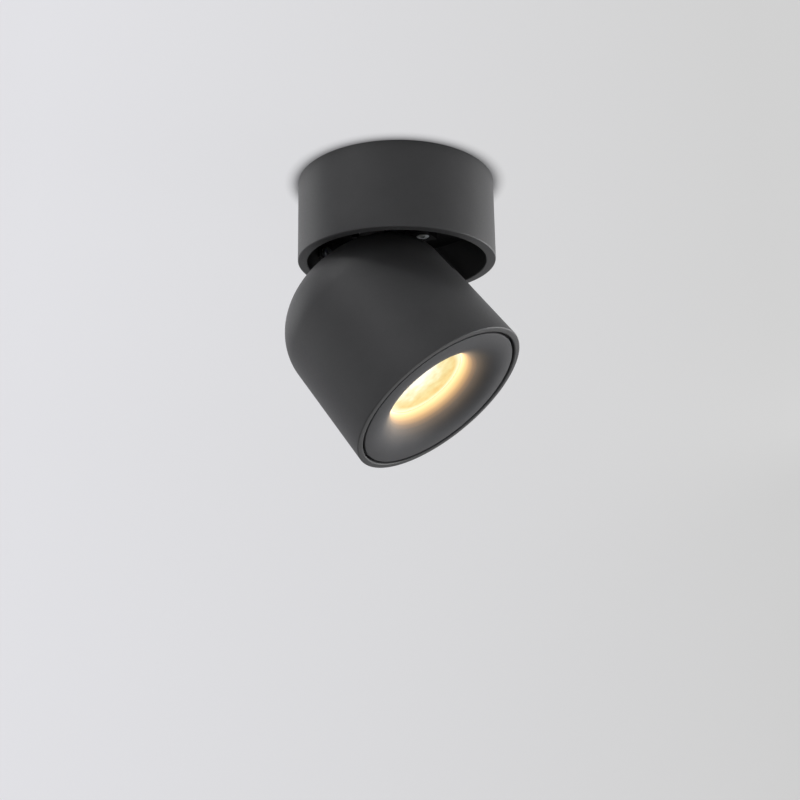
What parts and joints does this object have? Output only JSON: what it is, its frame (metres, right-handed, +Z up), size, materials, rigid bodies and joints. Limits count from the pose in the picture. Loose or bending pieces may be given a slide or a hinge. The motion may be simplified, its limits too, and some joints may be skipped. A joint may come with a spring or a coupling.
{
  "type": "surface mounted ceiling spotlight",
  "caption": "Round canopy fixed to the ceiling with a domed cylindrical lamp head below it that swivels and tilts, and a recessed anti-glare throat round a warm light.",
  "frame": {"origin": "centre of the canopy's flat top, on the ceiling", "axes": "+Z up through the ceiling, along the swivel axis; the head leans towards +X at rest and tilts about an axis along Y"},
  "size_m": [0.0936, 0.08, 0.115],
  "materials": {
    "charcoal_coat": "fine matte charcoal powder coat on turned aluminium",
    "trim_coat": "smooth matte charcoal coat on a turned aluminium ring",
    "zinc_plated_steel": "bright zinc plated steel",
    "dark_steel": "black coated pressed steel",
    "spring_steel": "sprung steel wire and strip",
    "cast_aluminium": "bare cast aluminium, lightly blasted",
    "reflector_metal": "bright anodised spun reflector",
    "lens_glass": "clear glass with a faint frost",
    "phosphor": "warm white phosphor over the light chips",
    "chip_ceramic": "white ceramic chip board",
    "white_plastic": "white heat resistant moulding",
    "nylon": "natural nylon",
    "black_rubber": "soft black rubber",
    "silicone": "translucent silicone",
    "insulating_film": "stiff insulating film",
    "circuit_board": "green circuit board",
    "ferrite": "dark ferrite core with a taped winding",
    "capacitor_sleeve": "dark shrink sleeve on an aluminium can",
    "brass": "plain brass"
  },
  "bodies": {
    "canopy": {"mounting_plate": "zinc_plated_steel", "plate_standoffs": "zinc_plated_steel", "cable_grommet": "black_rubber", "canopy_housing": "charcoal_coat", "base_plate": "dark_steel", "tab_screws": "zinc_plated_steel", "canopy_screws": "zinc_plated_steel", "insulation_sheet": "insulating_film", "driver_board": "circuit_board", "driver_spacers": "nylon", "driver_screws": "zinc_plated_steel", "driver_transformer": "ferrite", "driver_capacitors": "capacitor_sleeve", "terminal_block": "white_plastic", "terminal_screws": "brass", "stop_pin": "zinc_plated_steel"},
    "swivel": {"swivel_friction_washer": "nylon", "swivel_washer": "zinc_plated_steel", "swivel_wave_spring": "spring_steel", "swivel_nut": "zinc_plated_steel", "swivel_stud": "zinc_plated_steel", "turntable": "dark_steel", "hinge_arm": "dark_steel", "arm_screws": "zinc_plated_steel"},
    "head": {"head_shell": "charcoal_coat", "heat_sink": "cast_aluminium", "heat_sink_screws": "zinc_plated_steel", "tilt_pin": "zinc_plated_steel", "tilt_nut": "zinc_plated_steel", "tilt_washers": "nylon", "chip_board": "chip_ceramic", "chip_emitter": "phosphor", "chip_holder": "white_plastic", "holder_screws": "zinc_plated_steel", "reflector": "reflector_metal", "lens_gasket": "silicone", "glass_lens": "lens_glass", "glare_trim": "trim_coat", "trim_snap_ring": "spring_steel"}
  },
  "joints": [
    {"name": "swivel", "type": "hinge", "parent": "canopy", "child": "swivel", "pos_m": [0, 0, 0], "axis": [0, 0, 1], "range_deg": [-165, 165]},
    {"name": "tilt", "type": "hinge", "parent": "swivel", "child": "head", "pos_m": [0, 0, -0.0684], "axis": [0, -1, 0], "range_deg": [-39, 31]}
  ]
}
